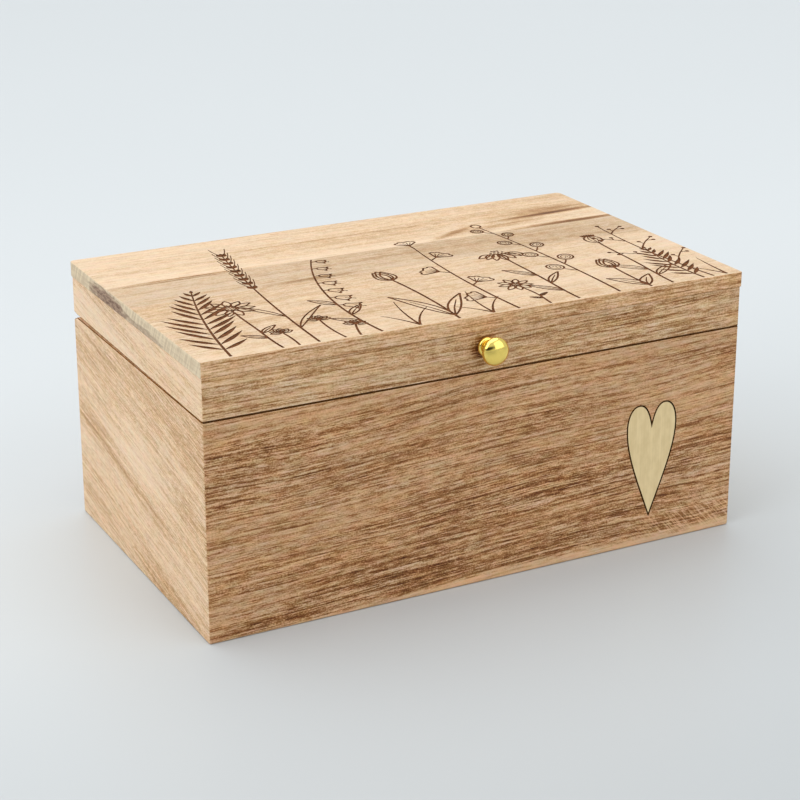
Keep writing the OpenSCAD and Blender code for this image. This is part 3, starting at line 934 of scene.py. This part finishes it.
def stave(node, look, shapes, depth):
    """A stave of the top board: its face cut by the engraving, its rim rounded above and below."""
    low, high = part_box(node)
    outline, moves = inset_outline(node, look.ease, look.joint_ease)
    mesh = bmesh.new()
    cut = cut_face(mesh, outline, shapes, high.z)
    home = mesh.verts.layers.float_vector.new("home")
    out = mesh.verts.layers.float_vector.new("out")
    rim = [edge for edge in mesh.edges if len(edge.link_faces) == 1]
    for vert in {corner for edge in rim for corner in edge.verts}:
        vert[home] = vert.co
        vert[out] = -rim_move(vert.co.xy, outline, moves).to_3d()
    rings = [(turn, high.z, 1) for turn in (22, 45, 68, 90)]
    rings += [(turn, low.z, -1) for turn in (90, 60, 30, 0)]
    for turn, level, side in rings:
        turn = math.radians(turn)
        made = bmesh.ops.extrude_edge_only(mesh, edges=rim)["geom"]
        rim = [part for part in made if isinstance(part, bmesh.types.BMEdge)]
        for vert in {corner for edge in rim for corner in edge.verts}:
            vert.co = vert[home] + vert[out] * math.sin(turn)
            vert.co.z = level - side * look.ease * (1 - math.cos(turn))
    bmesh.ops.contextual_create(mesh, geom=rim)
    bmesh.ops.recalc_face_normals(mesh, faces=mesh.faces)
    for face in mesh.faces:
        if abs(face.normal.x) > 0.6:
            face.material_index = 1
        elif abs(face.normal.y) > 0.6 and abs(face.calc_center_median().y) > HALF_D - MM:
            face.material_index = 3
    if cut:
        made = bmesh.ops.extrude_face_region(mesh, geom=cut)["geom"]
        moved = [part for part in made if isinstance(part, bmesh.types.BMVert)]
        bmesh.ops.translate(mesh, verts=moved, vec=(0, 0, -depth))
        floors = [part for part in made if isinstance(part, bmesh.types.BMFace)]
        for side in {side for face in floors for edge in face.edges for side in edge.link_faces}:
            side.material_index = 2
        bmesh.ops.delete(mesh, geom=cut, context="FACES")
    return mesh


# Knob

# In millimetres: depth of the head, radius and length of the collar, radius of the neck, radius and
# length of the bore
KNOB_SIZES = (6.6, 4.2, 2.6, 2.9, 2.0, 7.6)


def knob_mesh(look):
    """The turned knob: bored from behind, with a rounded collar, a waist and a flattened round head."""
    low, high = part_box("knob")
    middle = Vector(((low.x + high.x) / 2, high.y, (low.z + high.z) / 2))
    head = (high.x - low.x) / 2
    depth, collar, collar_long, neck, bore, bore_long = (size * MM for size in KNOB_SIZES)
    bead = collar_long / 2
    head_middle = high.y - low.y - depth / 2
    behind = math.asin(neck / head)
    waist = head_middle - math.cos(behind) * depth / 2
    profile = [(0.0, bore_long), (bore, bore_long), (bore, 0.0), (collar - bead, 0.0)]
    for step in range(1, 13):
        turn = math.radians(-90 + 15 * step)
        profile.append((collar - bead * (1 - math.cos(turn)), bead * (1 + math.sin(turn))))
    for step in range(1, 8):
        part = step / 8
        radius = neck + (collar - bead - neck) * (1 - part) ** 3
        profile.append((radius, collar_long + (waist - collar_long) * part))
    for step in range(41):
        turn = (math.pi - behind) * (1 - step / 40)
        profile.append((head * math.sin(turn), head_middle + math.cos(turn) * depth / 2))
    mesh = bmesh.new()
    verts = [mesh.verts.new((middle.x + radius, middle.y - out, middle.z)) for radius, out in profile]
    edges = [mesh.edges.new(pair) for pair in zip(verts, verts[1:])]
    bmesh.ops.spin(mesh, geom=verts + edges, cent=middle, axis=(0, 1, 0), angle=2 * math.pi,
                   steps=look.turns, use_merge=True)
    bmesh.ops.remove_doubles(mesh, verts=mesh.verts, dist=0.0005 * MM)
    bmesh.ops.recalc_face_normals(mesh, faces=mesh.faces)
    return mesh


def eased_metal(node, ease):
    """A small metal piece with its sharp edges broken."""
    mesh = merged_copy(node)
    edges = [edge for edge in mesh.edges if len(edge.link_faces) == 2
             and edge.calc_face_angle(0.0) > math.radians(50)]
    ease_edges(mesh, edges, ease, 1)
    return mesh


# Operators

# The calmer grain of the pale side boards
SIDE_GRAIN = {"wobble": 4.0, "broad": 0.85, "fine": 0.33, "ruled": 0.85}

# Patches of paler and darker grain, as in the call of acacia
FRONT_SHADES = ((-90, 84, 42, 9, 0.0, -0.20), (-60, 62, 16, 5, 0.1, -0.15), (-20, 52, 105, 6, 0.08, 0.15),
                (-100, 33, 30, 1.6, 0.05, -0.25), (-60, 10, 95, 16, 0.04, -0.62),
                (-98, 8, 36, 2.6, 0.02, -0.40), (95, 70, 60, 30, 0.0, 0.18), (70, 14, 90, 7, 0.12, -0.15))
FRONT_SAW = (110, 3, 58, 17, 0.85, 0.75)
LEFT_SHADES = ((40, 4, 62, 14, 0.0, -0.34), (0, 54, 50, 18, 0.1, 0.26), (-48, 82, 40, 9, 0.0, -0.16))
RAIL_SHADES = ((80, 108, 60, 3.4, 0.0, -0.36), (60, 103, 60, 1.6, 0.0, -0.30),
               (-60, 101, 80, 3.5, 0.02, 0.15), (-70, 109, 60, 1.2, 0.0, -0.15))
KNOTS = ((27, 114.6, 27, 4.6, 0.95), (-14, 113.6, 26, 2.0, 0.55))

# Of each stave: name, level of its colour, shift and tilt of its grain, wobble, shades and lines
STAVES = (
    ("rear", 1.04, (40, 880, 0), 0.0, 3.0,
     ((104, 50.5, 40, 7, 0.0, -0.65), (95, 35, 50, 6, 0.0, -0.20), (-10, 54.5, 80, 1.6, 0.0, -0.30)),
     ((-92, 28.3, 40, 1.8, 0.0, -1.5), (106, 28.8, 44, 3.0, 0.0, -2.2), (46, 36.0, 22, 3.2, 0.46, -1.0),
      (102, 44.8, 46, 3.2, 0.05, -1.8), (70, 36.5, 50, 7.5, 0.16, -0.45))),
    ("middle", 0.87, (250, 35, 60), 0.01, 4.0,
     ((30, 20, 130, 12, 0.0, -0.18), (90, 5, 60, 8, 0.0, -0.15)),
     ((-92, 27.5, 40, 1.1, 0.0, -1.0), (106, 27.2, 44, 2.6, 0.0, -1.8), (-42, 1.8, 34, 3.6, 0.03, -1.0))),
    ("front", 0.99, (520, 360, 120), 0.04, 6.0,
     ((85, -14, 70, 16, 0.15, -0.1),),
     ((-33, -1.0, 42, 1.0, 0.0, -0.5),)),
)


def look_of(context, name):
    """The settings of one part of the box."""
    return getattr(context.scene.keepsake_box, name)


def times(factors, colour):
    """A colour with its red, green and blue each made stronger or weaker."""
    return tuple(factor * part for factor, part in zip(factors, colour))


def side_painted_shade(name, look):
    """The paler painted shade of the gap at the parting, at the sides and the back."""
    return burnt_and_shaded_wood(name, tuple(2.6 * part for part in look.parting))


class KEEPSAKE_OT_base_walls(bpy.types.Operator):
    """Makes the four walls of the base, with eased edges and the heart's pocket burnt at its rim"""

    bl_idname = "keepsake.base_walls"
    bl_label = "Base walls"

    def execute(self, context):
        look = look_of(context, "wood")
        burnt = burnt_and_shaded_wood("pocket_burnt", look_of(context, "inlay").burnt)
        # Painted shade of the gap where the lid closes, darkest along the front
        parting = burnt_and_shaded_wood("parting_painted_shade", look.parting)
        soft = side_painted_shade("side_parting_painted_shade", look)
        front = acacia("acacia_front", look.wall, look.figure, FRONT_SIDE, math.radians(2.5), (400, 30, 0),
                       FRONT_SHADES, wear=(0.0, 3.6 * MM, 0.85), saw=FRONT_SAW)
        back = acacia("acacia_back", look.wall, look.figure, BACK_SIDE, math.radians(-1.5), (150, 260, 90))
        left = acacia("acacia_left", look.pale, look.figure, LEFT_SIDE, math.radians(-9), (60, 510, 30),
                      LEFT_SHADES, **SIDE_GRAIN)
        right = acacia("acacia_right", look.pale, look.figure, RIGHT_SIDE, math.radians(3), (310, 80, 200),
                       **SIDE_GRAIN)
        mesh = eased_board("front_wall", look, BASE_HIGH.z)
        low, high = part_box("heart_inlay")

        def near(place):
            return low.x - MM < place.x < high.x + MM and low.z - MM < place.z < high.z + MM

        rim = [edge for edge in mesh.edges if edge.calc_face_angle(0.0) > 1.0
               and all(abs(vert.co.y - BASE_LOW.y) < CLOSE and near(vert.co) for vert in edge.verts)]
        ease_edges(mesh, rim, 0.36 * MM, 1)
        for face in mesh.faces:
            middle = face.calc_center_median()
            if near(middle) and BASE_LOW.y + CLOSE < middle.y < high.y + 0.2 * MM:
                face.material_index = 2
        finish_piece(mesh, "front_wall_board", "front_wall", (front, parting, burnt))
        for node, material in (("back_wall", back), ("left_wall", left), ("right_wall", right)):
            finish_piece(eased_board(node, look, BASE_HIGH.z), node + "_board", node, (material, soft))
        return {"FINISHED"}


class KEEPSAKE_OT_bottom_panel(bpy.types.Operator):
    """Makes the panel that is let into the bottom of the base"""

    bl_idname = "keepsake.bottom_panel"
    bl_label = "Bottom panel"

    def execute(self, context):
        look = look_of(context, "wood")
        mesh = merged_copy("bottom_panel")
        ease_edges(mesh, mesh.edges[:], look.inner_ease, 2)
        wood = acacia("panel_grain", look.pale, look.figure, TOP_SIDE, 0.01, (90, 700, 0),
                      broad=0.8, fine=0.7)
        finish_piece(mesh, "bottom_panel_board", "bottom_panel", (wood,))
        return {"FINISHED"}


class KEEPSAKE_OT_heart_inlay(bpy.types.Operator):
    """Makes the heart of pale veneer"""

    bl_idname = "keepsake.heart_inlay"
    bl_label = "Heart inlay"

    def execute(self, context):
        look = look_of(context, "inlay")
        mesh = merged_copy("heart_inlay")
        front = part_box("heart_inlay")[0].y
        rim = [edge for edge in mesh.edges if all(abs(vert.co.y - front) < CLOSE for vert in edge.verts)]
        ease_edges(mesh, rim, look.ease, 1)
        for face in mesh.faces:
            face.material_index = int(abs(face.normal.y) < 0.9)
        burnt = burnt_and_shaded_wood("heart_edge_burnt", look.burnt)
        leaf = veneer("heart_veneer", look.veneer, look.veneer_shade)
        finish_piece(mesh, "heart", "heart_inlay", (leaf, burnt), 50)
        return {"FINISHED"}


class KEEPSAKE_OT_lid_rails(bpy.types.Operator):
    """Makes the four rails of the lid"""

    bl_idname = "keepsake.lid_rails"
    bl_label = "Lid rails"

    def execute(self, context):
        look = look_of(context, "wood")
        # Painted shade of the gap where the lid closes, darkest along the front
        parting = burnt_and_shaded_wood("rail_parting_painted_shade", look.parting)
        soft = side_painted_shade("side_rail_parting_painted_shade", look)
        ground = times((1.12, 1.24, 1.36), look.wall)
        low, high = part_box("knob")
        knob_u, knob_v = 0.5 * (low.x + high.x) / MM, 0.5 * (low.z + high.z) / MM
        # Painted shadow: a dark ring in the rail's colour round the knob's collar stands for the shade the
        # knob casts on the rail
        painted_collar_shadow = (knob_u + 1.2, knob_v - 0.3, 7.0, 7.0, 0.0, -2.8)
        front = acacia("acacia_front_rail", ground, look.figure, FRONT_SIDE, math.radians(1.2),
                       (700, 410, 0), RAIL_SHADES, (painted_collar_shadow,), wobble=3.0, broad=0.7, fine=0.82)
        back = acacia("acacia_back_rail", look.wall, look.figure, BACK_SIDE, 0.02, (20, 620, 0))
        left = acacia("acacia_left_rail", look.pale, look.figure, LEFT_SIDE, math.radians(-7), (500, 140, 0),
                      **SIDE_GRAIN)
        right = acacia("acacia_right_rail", look.pale, look.figure, RIGHT_SIDE, math.radians(2),
                       (630, 190, 0), **SIDE_GRAIN)
        for side, material in (("front", front), ("back", back), ("left", left), ("right", right)):
            node = f"lid_{side}_rail"
            mesh = eased_board(node, look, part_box(node)[0].z)
            finish_piece(mesh, f"{side}_rail", node, (material, parting if side == "front" else soft))
        return {"FINISHED"}


class KEEPSAKE_OT_lid_top(bpy.types.Operator):
    """Makes the three glued staves of the lid's top board and cuts the engraving into them"""

    bl_idname = "keepsake.lid_top"
    bl_label = "Engraved lid top"

    def execute(self, context):
        look = look_of(context, "wood")
        engraving = look_of(context, "engraving")
        shapes = meadow(engraving)
        burnt = burnt_and_shaded_wood("engraved_line", engraving.burnt)
        ends = end_grain("stave_ends", (look.end_grain, look.end_shade, look.knot), KNOTS)
        ground = times((1.27, 1.41, 1.60), look.wall)
        edge = acacia("acacia_board_edge", ground, look.figure, FRONT_SIDE, 0.01, (330, 555, 0),
                      wobble=2.0, broad=0.8, fine=0.60)
        for name, level, shift, tilt, wobble, shades, lines in STAVES:
            node = f"lid_{name}_stave"
            ground = tuple(level * part for part in look.top)
            wood = acacia(f"acacia_{name}_stave", ground, look.figure, TOP_SIDE, tilt, shift, shades, lines,
                          wobble=wobble, broad=0.6, fine=0.22, ruled=0.7)
            mesh = stave(node, look, shapes, engraving.depth)
            finish_piece(mesh, f"{name}_stave", node, (wood, ends, burnt, edge))
        return {"FINISHED"}


class KEEPSAKE_OT_hinges(bpy.types.Operator):
    """Makes the two brass hinges, their pins and their screws"""

    bl_idname = "keepsake.hinges"
    bl_label = "Hinges and screws"

    def execute(self, context):
        look = look_of(context, "brass")
        satin = metal("satin_brass", look.satin, 0.24, 0.38)
        for side in ("left", "right"):
            for part in ("hinge_base_leaf", "hinge_lid_leaf", "hinge_pin"):
                node = f"{side}_{part}"
                finish_piece(eased_metal(node, 0.07 * MM), f"{side}_brass_{part[6:]}", node, (satin,))
        screw = metal("screw_brass_finish", look.satin, 0.20, 0.34)
        for half in ("base", "lid"):
            node = f"{half}_hinge_screws"
            finish_piece(eased_metal(node, 0.04 * MM), f"{half}_screws", node, (screw,))
        return {"FINISHED"}


class KEEPSAKE_OT_knob(bpy.types.Operator):
    """Makes the turned brass knob and the screw that holds it"""

    bl_idname = "keepsake.knob"
    bl_label = "Knob and screw"

    def execute(self, context):
        look = look_of(context, "brass")
        polish = metal("knob_polish", look.polished, 0.07, 0.15, 0.12)
        finish_piece(knob_mesh(look), "turned_knob", "knob", (polish,), 50)
        zinc = metal("zinc_plate", look.zinc, 0.22, 0.36)
        finish_piece(eased_metal("knob_screw", 0.08 * MM), "knob_machine_screw", "knob_screw", (zinc,))
        return {"FINISHED"}


# The colour of the lamps, and the point that the soft boxes look at
LAMP_COLOUR = (1.0, 0.99, 0.97)
LAMP_AIM = Vector((0.0, 0.0, 0.06))


def lamp(name, kind, power, ahead, **settings):
    """A lamp that looks ahead."""
    data = bpy.data.lights.new(name, kind)
    data.energy = power
    data.color = LAMP_COLOUR
    for key, value in settings.items():
        setattr(data, key, value)
    light = added(name, data)
    light.rotation_euler = ahead.to_track_quat("-Z", "Y").to_euler()
    return light


def soft_box(name, place, size, power):
    """A square lamp beside the box."""
    light = lamp(name, "AREA", power, LAMP_AIM - Vector(place), shape="SQUARE", size=size)
    light.location = place


def studio(colour):
    """A world that lights the box softly, shows the floor's colour, and mirrors a dark patch."""
    world = bpy.data.worlds.new("studio")
    world.use_nodes = True
    nodes = Nodes(world.node_tree)
    kinds = ("Camera", "Glossy", "Transmission")
    camera_ray, glossy_ray, clear_ray = (nodes.add("LightPath", out=f"Is {kind} Ray") for kind in kinds)
    seen = nodes.math("MAXIMUM", camera_ray, nodes.math("MAXIMUM", glossy_ray, clear_ray))
    toward = nodes.add("TexCoord", out="Generated")
    lean = nodes.add("VectorMath", {0: toward, 1: (-0.20, 0.06, 0.05)}, "Value", operation="DOT_PRODUCT")
    ambient = nodes.add("Background", {"Color": (0.95, 0.98, 1.0, 1), "Strength": lean + 0.52})
    values = {"Vector": toward, "Location": (-0.60, -0.70, 0.27), "Scale": (1.00, 0.95, 0.26)}
    dark = nodes.length(nodes.add("Mapping", values, vector_type="TEXTURE"))
    bright = nodes.math("MAXIMUM", nodes.band(dark, 0.4, 1.1), camera_ray)
    shown = nodes.add("Background", {"Color": nodes.mix(bright, (0.045, 0.045, 0.045), colour)})
    nodes.node("OutputWorld", {"Surface": nodes.add("MixShader", {0: seen, 1: ambient, 2: shown})})
    return world


class KEEPSAKE_OT_stage(bpy.types.Operator):
    """Makes the floor, the soft light and the camera"""

    bl_idname = "keepsake.stage"
    bl_label = "Stage"

    def execute(self, context):
        look = look_of(context, "stage")
        scene = context.scene
        mesh = bmesh.new()
        bmesh.ops.create_grid(mesh, x_segments=8, y_segments=8, size=7.0)
        data = bpy.data.meshes.new("floor")
        mesh.to_mesh(data)
        mesh.free()
        data.materials.append(floor_finish(look.floor))
        floor = added("floor", data)
        scene.world = studio(look.floor)

        lamp("wide_light", "SUN", 1.75, Vector((0.04, -0.22, -0.97)), angle=math.radians(75))
        soft_box("left_box", (-1.5, -0.35, 1.2), 1.2, 7.5)
        soft_box("right_box", (1.0, -1.6, 1.1), 1.9, 10.5)

        camera_data = bpy.data.cameras.new("camera")
        camera_data.sensor_width = 36.0
        camera_data.lens = look.lens
        camera_data.shift_y = look.shift
        camera_data.clip_start = 0.01
        camera = added("camera", camera_data)
        turn, rise = look.azimuth, look.elevation
        back = Vector((math.sin(turn) * math.cos(rise), -math.cos(turn) * math.cos(rise), math.sin(rise)))
        camera.location = Vector(look.aim) + back * look.distance
        camera.rotation_euler = (math.pi / 2 - rise, 0.0, turn)
        scene.camera = camera
        scene.view_settings.view_transform = "Standard"
        return {"FINISHED"}


class KEEPSAKE_PT_panel(bpy.types.Panel):
    """The box's sizes and colours, and a button for each part"""

    bl_label = "Keepsake Box"
    bl_idname = "KEEPSAKE_PT_panel"
    bl_space_type = "VIEW_3D"
    bl_region_type = "UI"
    bl_category = "Keepsake Box"

    def draw(self, context):
        looks = context.scene.keepsake_box
        for name in ("wood", "engraving", "inlay", "brass", "stage"):
            group = getattr(looks, name)
            box = self.layout.box()
            box.label(text=name.capitalize())
            for prop in group.bl_rna.properties:
                if prop.identifier not in {"rna_type", "name"}:
                    box.prop(group, prop.identifier)
        for operator in OPERATORS:
            self.layout.operator(operator.bl_idname)


OPERATORS = (
    KEEPSAKE_OT_base_walls,
    KEEPSAKE_OT_bottom_panel,
    KEEPSAKE_OT_heart_inlay,
    KEEPSAKE_OT_lid_rails,
    KEEPSAKE_OT_lid_top,
    KEEPSAKE_OT_hinges,
    KEEPSAKE_OT_knob,
    KEEPSAKE_OT_stage,
)

LOOKS = (WoodLook, EngravingLook, InlayLook, BrassLook, StageLook, KeepsakeBoxLook)
CLASSES = (*LOOKS, *OPERATORS, KEEPSAKE_PT_panel)


def register():
    """Adds the classes and the settings."""
    for cls in CLASSES:
        bpy.utils.register_class(cls)
    bpy.types.Scene.keepsake_box = PointerProperty(type=KeepsakeBoxLook)


def unregister():
    """Removes the settings and the classes."""
    del bpy.types.Scene.keepsake_box
    for cls in reversed(CLASSES):
        bpy.utils.unregister_class(cls)


def main():
    """Builds the dressed box and its stage."""
    register()
    bpy.ops.keepsake.base_walls()
    bpy.ops.keepsake.bottom_panel()
    bpy.ops.keepsake.heart_inlay()
    bpy.ops.keepsake.lid_rails()
    bpy.ops.keepsake.lid_top()
    bpy.ops.keepsake.hinges()
    bpy.ops.keepsake.knob()
    bpy.ops.keepsake.stage()


if __name__ == "__main__":
    main()
